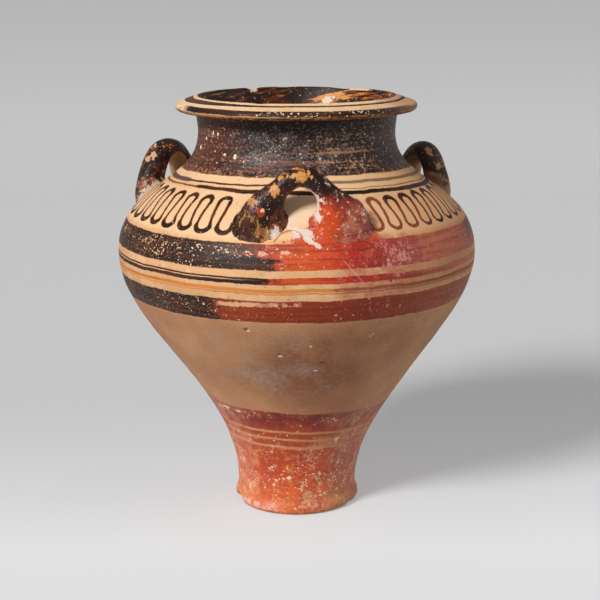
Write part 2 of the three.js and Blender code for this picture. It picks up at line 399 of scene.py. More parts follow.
class Paint:
    """The node tree of one material, built up by formulas of the place in millimetres."""

    def __init__(self, name):
        self.material = bpy.data.materials.new(name)
        self.material.use_nodes = True
        self.nodes = self.material.node_tree.nodes
        self.links = self.material.node_tree.links
        self.nodes.clear()
        place = self.node("ShaderNodeTexCoord").outputs["Object"]
        scaled = self.node("ShaderNodeVectorMath", {0: place, "Scale": 1 / METRES}, operation="SCALE")
        self.place = scaled.outputs[0]
        parts = self.node("ShaderNodeSeparateXYZ", {0: self.place}).outputs
        self.x, self.y, self.z = (Value(self, part) for part in parts)
        self.radius = self.length(self.x, self.y)
        self.turn = self.maths("ARCTAN2", self.x, -self.y) * math.degrees(1)

    def node(self, kind, inputs=None, **settings):
        """A node; its inputs are formulas, other nodes' outputs, colours as text, or plain values."""
        made = self.nodes.new(kind)
        for name, setting in settings.items():
            setattr(made, name, setting)
        for key, value in (inputs or {}).items():
            socket = made.inputs[key]
            if isinstance(value, (Value, Colour)):
                self.links.new(value.socket, socket)
            elif isinstance(value, bpy.types.NodeSocket):
                self.links.new(value, socket)
            elif isinstance(value, str):
                socket.default_value = rgb(value)
            else:
                socket.default_value = value
        return made

    def maths(self, operation, *values):
        made = self.node("ShaderNodeMath", dict(enumerate(values)), operation=operation)
        return Value(self, made.outputs[0])

    def length(self, across, along):
        return self.maths("SQRT", across * across + along * along)

    def step(self, value, soft):
        inputs = {"Value": value, "From Min": -soft, "From Max": soft}
        made = self.node("ShaderNodeMapRange", inputs, interpolation_type="SMOOTHSTEP")
        return Value(self, made.outputs[0])

    def mark(self, name):
        made = self.node("ShaderNodeAttribute", attribute_name=name)
        return Value(self, made.outputs["Fac"])

    def noise(self, size, stretch=(1, 1, 1), detail=2.0, roughness=0.5, slant=0.0, shift=0.0):
        """Clouds of values about 0, mostly within -0.8 and 0.8, in blots stretched along the axes.

        A slant, in degrees, turns the blots about the y axis; a shift makes others of the same kind.
        """
        shares = tuple(1 / (size * share) for share in stretch)
        place = self.place
        if slant:
            inputs = {"Vector": place, "Angle": math.radians(slant)}
            place = self.node("ShaderNodeVectorRotate", inputs, rotation_type="Y_AXIS").outputs[0]
        inputs = {0: place, 1: shares, 2: (shift, shift, shift)}
        moved = self.node("ShaderNodeVectorMath", inputs, operation="MULTIPLY_ADD")
        inputs = {"Vector": moved.outputs[0], "Scale": 1.0, "Detail": detail, "Roughness": roughness}
        made = self.node("ShaderNodeTexNoise", inputs)
        # Octaves average out, so the gain grows with them and the spread stays the same
        octaves = roughness ** np.arange(math.floor(detail) + 1)
        gain = 3.4 * float(octaves.sum() / np.linalg.norm(octaves))
        return (Value(self, made.outputs[0]) - 0.5) * gain

    @cached_property
    def cloud(self):
        """Slow changes, some centimetres across."""
        return self.noise(40)

    @cached_property
    def patch(self):
        """Worn patches about a centimetre across, with ragged edges."""
        return self.noise(10, detail=5, roughness=0.62)

    @cached_property
    def blot(self):
        """Smaller worn patches with ragged edges."""
        return self.noise(4.5, detail=5, roughness=0.65, shift=7.0)

    @cached_property
    def speck(self):
        return self.noise(1.9, detail=3, roughness=0.6)

    @cached_property
    def grain(self):
        return self.noise(0.6)

    @cached_property
    def brush(self):
        """Long level streaks, as a brush leaves them on a turning pot."""
        return self.noise(1.3, stretch=(26, 26, 1), detail=4, roughness=0.6)

    @cached_property
    def flake(self):
        """Small flakes, a little wider than tall."""
        return self.noise(0.95, stretch=(1.25, 1.25, 1), detail=2, roughness=0.55, shift=3.0)

    @cached_property
    def waver(self):
        """How far a painted edge strays up or down."""
        return self.noise(17) * 0.3 + self.speck * 0.13

    @cached_property
    def facing(self):
        """1 at the front of the jar and -1 at its back."""
        return -self.y / self.radius

    def spot(self, turn, height, wide, tall):
        """1 in a ragged spot on the wall, of a width round the jar and a height in millimetres."""
        across = (self.turn - turn) * self.radius * (math.radians(1) * 2 / wide)
        up = (self.z - height) * (2 / tall)
        return (self.length(across, up) + self.speck * 0.35).below(0.95, 0.12)

    def spots(self, places):
        made = self.spot(*places[0])
        for place in places[1:]:
            made = made.at_least(self.spot(*place))
        return made

    def oval(self, x, z, wide, tall):
        """How far out from the middle of an oval that is seen from the front: 1 at its edge."""
        return self.length((self.x - x) / wide, (self.z - z) / tall)

    def blend(self, share, under, over):
        """One colour laid over another by a share."""
        made = self.node("ShaderNodeMix", {0: share, 6: under, 7: over}, data_type="RGBA")
        return Colour(self, made.outputs[2])

    def ramp(self, value, stops):
        """Colours that change from stop to stop of a value."""
        low, high = stops[0][0], stops[-1][0]
        inputs = {"Value": value, "From Min": low, "From Max": high}
        share = self.node("ShaderNodeMapRange", inputs).outputs[0]
        made = self.node("ShaderNodeValToRGB", {0: share})
        elements = made.color_ramp.elements
        while len(elements) < len(stops):
            elements.new(0.5)
        for element, (position, colour) in zip(elements, stops):
            element.position = (position - low) / (high - low)
            element.color = rgb(colour)
        return Colour(self, made.outputs[0])

    def bands(self, value, pairs, soft):
        """1 inside each pair of edges and 0 between them."""
        dark, light = "000000", "ffffff"
        stops = []
        for low, high in pairs:
            stops += [(low - soft, dark), (low + soft, light), (high - soft, light), (high + soft, dark)]
        return Value(self, self.ramp(value, stops).socket)

    def finish(self, colour, roughness, height):
        """The surface itself; height is its fine relief in millimetres."""
        bump = self.node("ShaderNodeBump", {"Height": height, "Distance": METRES, "Strength": 1.0})
        inputs = {"Base Color": colour, "Roughness": roughness, "Normal": bump.outputs[0]}
        inputs["Specular IOR Level"] = 0.2
        surface = self.node("ShaderNodeBsdfPrincipled", inputs)
        self.node("ShaderNodeOutputMaterial", {"Surface": surface.outputs[0]})
        return self.material


# Colours of the clay and the slips

BUFF = "d6a577"
BUFF_BROWN = "a87148"
CREAM = "eac69c"
PALE_CHIP = "f0d3b4"
PLASTER = "dccabf"
LILAC = "d3bfc4"
SMUDGE = "a3958c"
BLACK = "23140f"
BROWN = "5c301d"
RUST = "8a4a26"
DARK_RUST = "6f3b1f"
TAN = "c98c50"
ORANGE = "c87824"
RED = "bf441d"
BLOOM = "716e6f"

# Levels of the painted bands and lines
STEM_BANDS = [(-20, 33.2), (34.4, 37.4), (38.6, 41.4), (42.6, 53.0)]
SECOND_BAND = (102.0, 111.7)
ORANGE_LINES = [(114.5, 115.0), (115.35, 116.8)]
DOUBLE_LINE = (118.7, 121.4)
WIDE_BAND = (124.3, 134.5)
WAVE_TROUGH = 140.0
WAVE_CREST = 148.0
THICK_LINE = 152.75
THIN_LINE = 154.5
NECK_PAINT = 157.4

# The turn of the right handle, under which the wave ends; the back beyond it is painted as the left
RIGHT_END = HANDLES[1]["turn"]

# The turn behind the right handle at which the bands go from red to black again
RED_END = 125


# Paint of the wall


def clay(paint):
    """Bare buff clay with browner clouds, rubbed places and pits."""
    colour = paint.blend(paint.cloud.above(0.2, 0.9) * 0.45, BUFF, BUFF_BROWN)
    colour.lay(paint.patch.above(0.5, 0.5) * 0.3, CREAM)
    return paint.blend(paint.speck.above(0.95, 0.2) * 0.5, colour, BROWN)


def dark_slip(paint):
    """Black slip, brown where it is thin."""
    colour = paint.blend(paint.brush.above(0.3, 0.5) * 0.55, BLACK, BROWN)
    return paint.blend(paint.patch.above(0.55, 0.35) * 0.4, colour, BROWN)


def stained_clay(paint):
    """The clay of the wall, with the lower body darkened by grime and painted shade, paler on the
    left by painted light, and the red stain on the right.
    """
    turn, z = paint.turn, paint.z
    colour = clay(paint)
    colour.lay(z.above(136, 1) * 0.5, CREAM)
    colour.lay(turn.between(40, 140, 20) * z.above(113, 1) * 0.5, "c08854")

    # Lower body darkened, darkest in front: partly grime on the clay, partly painted shade under the swell
    lower = z.between(50, 103, 3)
    dirt_and_shade = 0.62 + 0.16 * paint.cloud + 0.1 * paint.patch
    dirt_and_shade = dirt_and_shade + 0.34 * turn.near(8, 20, 18) * z.between(60, 97, 8)
    colour.lay(lower * dirt_and_shade.at_most(0.97).at_least(0), "905a3c")
    colour.lay(z.between(50, 66, 5) * 0.3, "bd7f5a")
    # Painted light: the lower body is paler on the left, where the lamp falls
    colour.lay(lower * turn.between(-140, -18, 12) * 0.14, "d9a67c")

    # Grey smudges, grit, scuffs and a splash
    rub = paint.noise(9, stretch=(1.4, 1.4, 1), detail=6, roughness=0.68, slant=-25, shift=6.0)
    rubbed = turn.near(-23, 4, 6) * z.near(87, 1.5, 3)
    for place, level, wide, tall in [(-21, 75.5, 6, 4), (-9, 70.5, 7, 5), (-4, 87, 6, 5), (3, 78, 6, 5)]:
        rubbed = rubbed.at_least(turn.near(place, 4, wide) * z.near(level, 1.5, tall))
    smudge = (rub * 0.8 + rubbed * 0.75 + paint.grain * 0.15 + paint.speck * 0.15).above(0.4, 0.8)
    smudge = smudge * turn.near(-12, 24, 14) * z.near(78, 15, 9)
    colour.lay(smudge * 0.45, SMUDGE)
    grit = (paint.grain + paint.speck * 0.6).above(0.3, 0.5) * lower
    colour.lay(grit * 0.25, "c99570")
    scuffs = paint.noise(0.45, stretch=(6, 6, 1), detail=3, roughness=0.6, slant=12, shift=4.0)
    colour.lay((scuffs + rub * 0.5).above(1.15, 0.2) * lower * 0.3, PLASTER)
    splash = paint.spot(25.5, 94.3, 3.4, 3) * (paint.flake * 0.8 + paint.speck * 0.4).above(0.1, 0.3)
    colour.lay(splash * 0.5, PLASTER)

    # Red stain round the front handle's right root and beside it
    stain = turn.between(13, 38, 4) * z.between(112, 137, 1.5) * (0.5 + 0.3 * paint.blot)
    stain = stain + turn.between(38, 75, 6) * z.between(112, 137, 1.5) * 0.25
    smear = paint.blot * 2.5 + paint.speck * 1.2
    stain = stain + (turn + smear).between(4, 27, 3) * (z + smear).between(133, 142, 4) * 0.9
    stain = stain + turn.between(24, 75, 9) * z.between(137, 150, 2) * 0.12
    colour.lay(stain.at_least(0).at_most(1), "a8452b")

    # Pits and pale nicks
    pits = paint.spots([
        (-16, 98.5, 2.2, 1.6), (-6, 86.5, 1.4, 1.3), (9.5, 82, 2.0, 1.4), (28.5, 119, 1.6, 2.4),
    ])
    colour.lay(pits * 0.8, "4a3a33")
    nicks = paint.spots([
        (-15.2, 97.8, 1.6, 0.9), (-5.6, 85.4, 2.2, 1.2), (5, 90.5, 1.2, 1.1), (7.5, 77.5, 2.0, 0.9),
    ])
    return paint.blend(nicks * 0.85, colour, PALE_CHIP)


def fired_paint(paint):
    """The slip of the bands: fired black on the left and red on the right."""
    turn, z = paint.turn, paint.z
    strayed = turn + paint.blot * 3
    wide = paint.ramp(strayed, [
        (-14, "5c2418"), (-6, "b84a27"), (2, "c85225"), (10, "c24124"), (15, "a92c1f"),
        (24, "9b2d27"), (38, "a0493c"), (46, "b56347"), (80, "b26850"), (130, "733c2c"),
    ])
    low = paint.ramp(strayed, [
        (-30, "86391c"), (-20, "923d1b"), (0, "8b3318"), (12, "86321c"), (22, "80311f"),
        (34, "8c3a22"), (46, "96462a"), (80, "8f472f"), (130, "6d3727"),
    ])
    second = z.below(113, 0.5)
    red = paint.blend(second, wide, low)
    red.lay(paint.brush.above(0.2, 0.5) * 0.5, "6b2419")
    red.lay(paint.blot.above(0.4, 0.3) * (0.35 - 0.3 * second), "cf5a2c")
    thin = z.between(117, 122.5, 0.5)
    change = -5 - 10 * z.above(129.3, 1.0) - 19 * second - 2 * thin
    ragged = paint.brush * 1.6 + paint.speck * 0.8 + paint.blot * 1.5
    share = (turn + ragged - change).above(0, 2.2) * turn.below(RED_END + 3, 4)
    return paint.blend(share, dark_slip(paint), red)


def bands(paint, ground):
    """The wide band, the double line, the orange lines and the second band, over the clay."""
    turn, z = paint.turn, paint.z
    level = z + paint.waver
    slip = fired_paint(paint)

    # Where the bands and lines lie
    right = turn.between(15, RED_END, 8)
    smear = paint.blot * 1.2 + paint.speck * 0.6
    climb = (turn + smear * 2).between(0, 24, 3) * (1.5 + smear)
    wide = (level - climb).below(WIDE_BAND[1] + 0.6 * right, 0.25) * level.above(WIDE_BAND[0], 0.25)
    second = level.between(SECOND_BAND[0], SECOND_BAND[1] + 0.4 * right, 0.22)
    gap = level.near(120.45, 0.22, 0.15) * (turn.below(-18, 10) + turn.above(RED_END, 6))
    thin = level.between(*DOUBLE_LINE, 0.2) * (1 - gap)
    reddened = turn.above(11 + paint.blot * 3, 2.5) * turn.below(RED_END, 6)
    golden = paint.blend(reddened, ORANGE, "8a4530")
    golden.lay(paint.brush.above(0.2, 0.4) * 0.5, RUST)
    lines = paint.bands(level, ORANGE_LINES, 0.22)

    # Flecks, chips and a strip without slip, and a pale haze
    crowded = z.near(131.2, 1.6, 1.6) * turn.between(-80, 3, 6)
    flecked = 0.95 - 0.33 * crowded - 0.17 * turn.below(-5, 10) * z.above(122, 1)
    flecked = flecked + 0.16 * turn.below(-56, 8)
    flecks = (paint.flake * 0.85 + paint.blot * 0.35).above(flecked, 0.1)
    dotted = paint.noise(0.6, stretch=(1.4, 1.4, 1), detail=2, roughness=0.6, shift=9.0)
    flecks = flecks.at_least(dotted.above(1.04 - 0.24 * turn.below(-28, 14), 0.12) * 0.8)
    sag = (z - 0.03 * turn + paint.speck * 0.35).between(109.5, 111.2, 0.25)
    strip = sag * turn.between(-23.5, 1, 1) * (1 - turn.above(-9, 6) * paint.blot.above(-0.1, 0.4))
    chips = paint.spots([
        (-74, 132, 3, 3), (-10, 131, 3.4, 1.8), (-3, 131.6, 4, 1.4), (-28.5, 108.7, 1.4, 1.4),
    ])
    bare = flecks.at_least(chips * (0.8 + 0.5 * paint.flake)).at_least(strip).at_most(1).at_least(0)
    misty = paint.speck * 0.5 + paint.flake * 0.4 + paint.blot * 0.35
    haze = misty.above(0.25, 0.35) * turn.near(31, 7, 6) * z.between(124, 133.5, 1.5)
    haze = haze.at_least(misty.above(0.55, 0.3) * turn.near(28, 16, 8) * z.between(112, 136, 2) * 0.7)

    # Colours, from the ground up
    colour = paint.blend(lines * 0.9, ground, golden)
    burnt = turn.above(71, 5) * (z + paint.blot * 2).above(127.5, 2)
    slip.lay(burnt * 0.75, "43322f")
    colour.lay((second + thin + wide).at_most(1), slip)
    colour.lay(haze * 0.5, "d2a5a0")
    pale = paint.ramp(turn, [(-62, "b98a5c"), (-46, CREAM), (-30, CREAM), (-16, "e0a48a")])
    pale.lay(strip, "d3a07a")
    colour.lay(bare * (wide + second), pale)
    painted = (wide + second + thin).at_most(1) * (1 - bare)
    return colour, painted


def low_group(paint, ground):
    """The red slip of the stem, with three lines left bare, worn away towards the foot."""
    x, z, turn = paint.x, paint.z, paint.turn
    level = z + x * 0.033 + paint.waver
    group = paint.bands(level, STEM_BANDS, 0.3)
    strayed = z + paint.patch * 4

    # Red slip, paler and dustier towards the foot
    red = paint.ramp(strayed, [
        (0, "cf6a35"), (9, "c95c2e"), (18, "b9472c"), (30, "ae4527"), (42, "a3432a"),
        (47, "86332a"), (50.5, "682829"), (53, "8a3f2a"),
    ])
    red.lay(paint.brush.above(0.1, 0.6) * 0.3, "8c3424")
    low = z.below(36, 4)
    orange = (paint.blot + paint.speck * 0.6).above(0.15, 0.4) * (0.12 + 0.38 * low)
    red.lay(orange, "d06b2a")
    red.lay((paint.patch + paint.speck * 0.6).above(0.25, 0.4) * 0.45, "993026")
    dust = (paint.flake * 0.6 + paint.speck * 0.5 + paint.patch * 0.4).above(0.4, 0.35)
    red.lay(dust * low * (0.3 + 0.25 * turn.above(15, 15)), "d8a48e")
    red.lay(turn.between(28, 150, 24) * (0.5 + 0.3 * paint.blot), "c4866d")
    red.lay(turn.between(-150, -38, 12) * (0.35 + 0.3 * paint.blot), "dc9a7a")

    # Places where it is worn off
    low_wear = (30 - z).at_least(0) * 0.012
    worn = paint.blot * 0.3 + paint.speck * 0.4 + paint.patch * 0.35 + paint.brush * 0.4 + low_wear
    worn = worn.above(0.62, 0.16) * z.below(33, 2)
    ragged = paint.patch * 0.4 + paint.speck * 0.35
    tan_patch = (ragged + turn.near(45, 14, 12) * z.below(9, 4)).above(0.6, 0.3)
    rubbed = (ragged + turn.between(13, 40, 6) * level.between(32.5, 40.5, 1.5)).above(0.6, 0.3) * 0.8
    wear = worn.at_least(tan_patch).at_least(rubbed)
    ground = paint.blend(z.below(50, 2) * 0.45, ground, "b0602f")
    colour = paint.blend(group * (1 - wear * 0.85), ground, red)
    pale = (paint.flake * 0.8 + paint.blot * 0.45).above(0.85 - 0.25 * z.near(17, 8, 6), 0.1)
    pale = pale.at_least(paint.spots([
        (-48, 51.6, 4.5, 1.8), (-38, 51.2, 3, 1.4), (-7, 18, 2.2, 1.8), (31, 37, 2, 3),
    ]))
    colour.lay(pale * z.below(54, 1) * 0.75, PALE_CHIP)
    lilac = (paint.blot + paint.speck * 0.5).above(0.1, 0.5) * z.near(3.2, 1.2, 1.2) * turn.near(-42, 24, 8)
    colour.lay(lilac * 0.6, LILAC)
    return colour, group * (1 - wear)


def wave(paint):
    """The brushed meander round the shoulder, as 1 on its stroke, and 1 on its thin brown fringe.

    It is drawn by its distance from a line that folds over at each crest. Its seam lies under the
    right handle.
    """
    hand = paint.noise(30)
    turn = paint.turn - 360 * paint.turn.above(RIGHT_END, 0.01) + hand * 0.7
    z = paint.z + hand * 0.25
    right = paint.turn.between(0, RIGHT_END, 0.01)
    pitch = 8.4 - 0.17 * right
    crest = -28.2 + 59.3 * right
    lean_left = (0.5 - 0.068 * (turn + 28)).at_most(3.4)
    lean_right = (-0.3 - 0.11 * (turn - 30.5)).at_least(-6)
    lean = lean_left + (lean_right - lean_left) * right
    crest_level = WAVE_CREST - 0.3 * right
    trough_level = WAVE_TROUGH + 0.7 * right
    sunk = ((crest_level - z) / (crest_level - trough_level)).at_least(0).at_most(1)
    place = (turn - crest - lean * sunk) / pitch
    beside = abs(place - paint.maths("ROUND", place)) * pitch
    half_crest = 2.35 - 0.85 * sunk
    half_trough = pitch / 2 - half_crest
    over = (z - crest_level).at_least(0) / 1.8
    under = (trough_level - z).at_least(0) / 2.3
    from_crest = abs(paint.length(beside / half_crest, over) - 1) * half_crest
    from_trough = abs(paint.length((pitch / 2 - beside) / half_trough, under) - 1) * half_trough
    low = z.below(144, 0.01)
    distance = (from_crest + (from_trough - from_crest) * low) * (paint.radius * math.radians(1))
    loaded = (0.65 - 0.5 * right) * z.below(WAVE_TROUGH, 1.5)
    half_stroke = 0.66 + 0.08 * right + 0.25 * z.above(147.5, 1.2) + loaded + paint.speck * 0.16
    stopped = paint.turn.near(0.3, 23.3 - 3.2 * z.below(141.5, 1), 0.7)
    for handle in HANDLES[1:]:
        stopped = stopped + paint.turn.near(handle["turn"], 21.5, 0.7)
    there = z.between(135.5, 151.5, 0.3) * (1 - stopped.at_most(1))
    outside = distance - half_stroke
    return outside.below(0, 0.14) * there, outside.below(0.25, 0.2) * there


def shoulder(paint, ground):
    """The wave, the two lines above it and the edge of the neck's paint."""
    turn = paint.turn
    right = turn.above(8, 6) * turn.below(RIGHT_END, 1)
    level = paint.z - 1.5 * (paint.facing - 0.8) + paint.waver * 0.7
    far_left = turn.below(-48, 1.5)
    thick_level = THICK_LINE - 0.1 * far_left - 0.55 * turn.above(-28, 6) - 0.4 * right
    thick = level.near(thick_level, 0.58 - 0.3 * far_left + 0.14 * turn.above(-28, 6), 0.18)
    thick = thick.at_least(level.near(153.25, 0.2 + paint.brush * 0.12, 0.12) * right * 0.7)
    broad = turn.below(-57, 1.5)
    fine = (level - 1.1 * right).near(THIN_LINE, 0.33 + 0.42 * broad + 0.22 * right, 0.18)
    black = dark_slip(paint)
    on_wave, brown_edge = wave(paint)
    legs = paint.z.between(140.5, 147.5, 2)
    ink = paint.blend(legs * (0.25 + 0.4 * paint.speck).at_least(0), black, RUST)
    thinned = turn.between(10, 50, 9) * paint.z.below(146, 2.5) * 0.75
    ink.lay(thinned.at_least(turn.between(10, 36, 2) * 0.9), "87452c")
    ink.lay(paint.flake.above(1.1, 0.1), CREAM)
    fringe = level.near(THICK_LINE, 0.95, 0.3) * turn.below(-30, 12) * 0.3
    colour = paint.blend(fringe.at_least(brown_edge * 0.5), ground, ORANGE)
    colour.lay(on_wave, ink)
    colour.lay(thick, paint.blend(far_left, black, DARK_RUST))
    colour.lay(fine * (1 - 0.3 * right), paint.blend(broad, black, "5b3f3a"))
    return colour, on_wave.at_least(thick).at_least(fine)


def neck(paint, ground):
    """The dark paint of the neck, brown on the left, with a grey bloom in front and pale chips."""
    turn, z = paint.turn, paint.z
    right = turn.above(8, 6) * turn.below(RIGHT_END, 1)
    level = z - 1.5 * (paint.facing - 0.8) + paint.waver
    covered = level.above(NECK_PAINT + 0.6 * right, 0.25)
    # Brown streaks stop below the lip, so the top of the neck stays black as painted shade under the lip
    colour = paint.blend(paint.brush.above(0.35, 0.45) * 0.6 * z.below(174, 3), BLACK, BROWN)
    brown = (turn + paint.patch * 6).near(-62, 24, 10) * 0.75
    colour.lay(brown, "4f2b20")
    colour.lay(turn.above(52, 8) * turn.below(RIGHT_END, 1) * 0.5, "453832")
    fine = paint.noise(0.5, stretch=(1, 1, 2.0), detail=2, roughness=0.6)
    bloom = (fine * 0.9 + paint.blot * 0.4).above(0.2, 0.4) * turn.near(-2, 30, 16) * z.near(168, 9, 3)
    colour.lay(bloom * 0.6, BLOOM)
    dusting = (paint.flake * 0.8 + paint.speck * 0.3).above(0.42, 0.3) * z.below(180, 2)
    dusting = dusting * turn.between(-45, 140, 15)
    colour.lay(dusting * 0.35, "a88a78")
    glints = (paint.flake * 0.7 + paint.brush * 0.4).above(0.4, 0.3) * turn.between(-140, -35, 12)
    colour.lay(glints * 0.6, "a36a56")
    streak = paint.brush.above(0.55, 0.2) * turn.near(-12, 26, 10) * z.near(164.5, 6, 3)
    colour.lay(streak * 0.5, "8a5238")
    rubbed = (paint.flake * 0.8 + paint.brush * 0.7 + paint.blot * 0.3).above(0.4, 0.3)
    rubbed = rubbed * turn.near(28, 18, 8) * z.near(167, 8, 4)
    colour.lay(rubbed * 0.65, "b08866")
    low_specks = paint.speck.above(0.5, 0.2) * z.below(160.5, 1.2)
    colour.lay(low_specks * 0.6, "a9734a")
    chips = paint.spots([
        (-34.5, 165.0, 1.9, 2.0), (-42, 165.4, 1.6, 1.0), (-53, 174, 1.2, 2.2), (-48.7, 173.6, 1.1, 1.4),
        (-61, 171.2, 1.4, 1.4), (-68, 166.8, 2.0, 1.6), (41, 174.2, 0.9, 0.9),
    ])
    chips = chips.at_least((paint.flake * 0.85 + paint.blot * 0.35).above(1.0, 0.1))
    colour.lay(chips * 0.9, PALE_CHIP)
    return paint.blend(covered, ground, colour), covered


def loop_ground(paint, ground):
    """The shoulder under the front handle: stained red, with remains of pale plaster."""
    turn, z = paint.turn, paint.z
    inside = turn.near(2, 11, 2) * z.between(134.8, 152, 0.6)
    colour = paint.blend(inside * z.above(141.5, 2) * 0.5, ground, "ecd2b8")
    ragged = paint.blot * 0.8 + paint.speck * 0.4
    red = (turn * 0.25 + ragged - (z - 137.5) * 0.35).above(0.1, 0.3) * inside
    colour.lay(red * 0.9, RED)
    plaster = (ragged - abs(z - 139.2 + turn * 0.75) * 0.3).above(-0.5, 0.15)
    plaster = plaster * turn.near(2.5, 8, 1.5) * z.between(133, 143.5, 1)
    colour.lay(plaster * 0.9, PLASTER)
    curve = paint.length((turn + 1.5) * 1.3, (z - 133.8) * 1.2) + ragged * 0.5
    arch = curve.near(6.6, 0.4, 0.25) * z.above(135.2, 0.3) * turn.between(-8, 5, 1)
    return paint.blend(arch * 0.85, colour, "b8622c")


def wall_material():
    """The thrown wall: buff clay with painted bands, a drip of plaster, and dark slip inside the neck."""
    paint = Paint("painted_wall")
    z = paint.z
    colour = stained_clay(paint)
    colour, on_group = low_group(paint, colour)
    colour = loop_ground(paint, colour)
    colour, on_bands = bands(paint, colour)
    colour, on_lines = shoulder(paint, colour)
    colour, on_neck = neck(paint, colour)
    drip = paint.length((paint.turn - 3.8 + (z - 136) * 1.2) / 1.6, (z - 136) / 3)
    drip = (drip + paint.blot * 0.4 + paint.speck * 0.3).below(0.9, 0.15)
    colour.lay(drip * 0.9, PLASTER)
    inside = paint.mark("inside").above(0.5, 0.1)
    inner = paint.blend(z.above(150 + paint.patch * 8, 4), BUFF_BROWN, dark_slip(paint))
    colour.lay(inside, inner)
    painted = (on_group + on_bands + on_lines + on_neck).at_most(1)
    scratch = abs(paint.turn - 14 - (128 - z) * 0.6).below(0.1, 0.14) * z.between(118.5, 128, 0.8)
    colour.lay(scratch * 0.45, PALE_CHIP)
    roughness = 0.62 - 0.14 * painted + paint.speck * 0.06
    height = painted * 0.06 + paint.grain * 0.01 + paint.speck * 0.03 + paint.brush * 0.02
    return paint.finish(colour, roughness, height)


# Paint of the handles, the lip and the floor


def side_handle_material(name, shift, patches, foot, foot_from, foot_reach, shaded_loop_face):
    """Dark slip on a handle, worn to the clay in patches and at its foot, greyed on the jar's right by a
    painted sheen, and left off in the loop, whose bare clay is darkened by painted shade.

    The worn foot starts at a share of the way down to the wall, and reaches sideways from the jar's
    axis as far as foot_reach.
    """
    paint = Paint(name)
    ragged = paint.noise(6.5, detail=4, roughness=0.55, shift=shift)
    slip = paint.blend((ragged + paint.speck * 0.4).above(0.15, 0.5) * 0.7, BLACK, BROWN)
    slip.lay((ragged + paint.blot * 0.6).above(0.6, 0.3) * 0.5, RUST)
    # Painted sheen: on the jar's right the slip is greyed, standing in for the backdrop's reflection
    slip.lay(paint.x.above(0, 1) * 0.35, "66574e")
    for patch in patches:
        away = paint.oval(*patch) + paint.speck * 0.5 + paint.blot * 0.3
        slip.lay(away.below(0.95, 0.15), "c39470")
    low = (paint.mark("root") + ragged * 0.25 + paint.speck * 0.25).above(foot_from, 0.12)
    slip.lay(low * abs(paint.x).below(foot_reach, 1) * 0.85, foot)
    slip.lay((paint.flake + ragged * 0.3).above(0.8, 0.12) * 0.8, "d2a883")
    bare = (paint.mark("bare") + paint.speck * 0.12).above(0.5, 0.25)
    # The bare clay in the loop takes a darker colour, as painted shade inside the loop
    colour = paint.blend(bare, slip, shaded_loop_face)
    roughness = 0.45 + 0.2 * bare + paint.speck * 0.06
    height = paint.grain * 0.01 + paint.speck * 0.04 + ragged * 0.04
    return paint.finish(colour, roughness, height)


def front_handle_material():
    """The front handle: black with tan patches on its left, red on its right, pale along the loop."""
    paint = Paint("slip_on_front_handle")
    x, z = paint.x, paint.z
    ragged = paint.noise(5, detail=5, roughness=0.62, shift=2.0)
    strokes = paint.noise(1.6, stretch=(1, 1, 3), detail=3, roughness=0.6, shift=5.0)

    # Tan patches on black
    tan = paint.oval(-19, 146, 6, 9) + 0.25
    for patch in [(2, 162, 3.8, 5), (-6, 162, 2.6, 2.4), (-9, 155.5, 2.8, 3.2), (-14, 138.6, 5, 3.6)]:
        tan = tan.at_most(paint.oval(*patch))
    tan = (tan + ragged * 0.45 + strokes * 0.45).below(0.65, 0.14)
    slip = paint.blend((ragged + strokes * 0.5).above(0.2, 0.4) * 0.75, BLACK, "52281a")
    dull = x.below(-11, 2) * z.below(151, 2)
    tan_paint = paint.blend(strokes.above(0.1, 0.4), TAN, RUST)
    slip.lay(tan, paint.blend(dull * 0.7, tan_paint, "7f522b"))

    # Red on the right, worn and dusty towards its edge
    red = paint.blend((x + ragged * 3).above(15.5, 2.5), "bd4417", "8a3427")
    red.lay((paint.blot + strokes * 0.5).above(0.3, 0.4) * 0.5, "b13a1c")
    worn = (x - (z - 140) * 0.3 + ragged * 3).above(17.5, 2.5)
    faded = (0.4 + 0.5 * ragged + 0.4 * paint.blot).at_least(0).at_most(1)
    red.lay(worn * faded, "ad6a52")
    dust = (paint.speck * 0.8 + paint.flake * 0.5).above(0.8 - 0.3 * worn, 0.2)
    red.lay(dust * 0.55, "dcb6a4")
    edge = z + ragged * 1.6 + strokes + 0.12 * (x - 6)
    red.lay(edge.above(150.5, 2.5) * 0.6, "6a2419")
    share = edge.below(153.8, 1.6) * (x + ragged * 1.2).above(3, 1.2)
    slip.lay(share, red)

    # Crumbs of red, a chip, and remains of plaster
    crumbs = (x + ragged * 3).near(-5, 4, 2) * z.below(147, 2) * paint.blot.above(0.1, 0.3)
    crumbs = crumbs.at_least(paint.oval(-14, 147, 1.7, 1.5).below(1 + ragged * 0.8, 0.3))
    slip.lay(crumbs * 0.8, "a33a1c")
    chip = paint.oval(-13.6, 148, 0.8, 0.9).below(1 + paint.speck * 0.5, 0.15)
    slip.lay(chip, "dfb28c")
    dab = paint.oval(-8.6, 138, 2.6, 2.8).below(1 + ragged * 0.5, 0.12)
    slip.lay(dab * 0.9, PLASTER)
    slip.lay(paint.flake.above(1.0, 0.1) * 0.9, CREAM)
    bare = (paint.mark("bare") + paint.speck * 0.15).above(0.5, 0.2)
    plaster = (paint.mark("bare") + ragged * 0.3 + paint.speck * 0.2).above(0.3, 0.15)
    plaster = plaster * x.above(4, 1.5) * (z + ragged * 2).above(144, 1.5)
    colour = paint.blend(bare, slip, paint.blend(x.above(0, 6) * 0.7, "5f3a2a", RED))
    colour.lay(plaster * 0.9, PLASTER)
    roughness = 0.34 + 0.2 * bare + paint.speck * 0.08
    height = paint.grain * 0.01 + paint.speck * 0.07 + ragged * 0.08
    return paint.finish(colour, roughness, height)


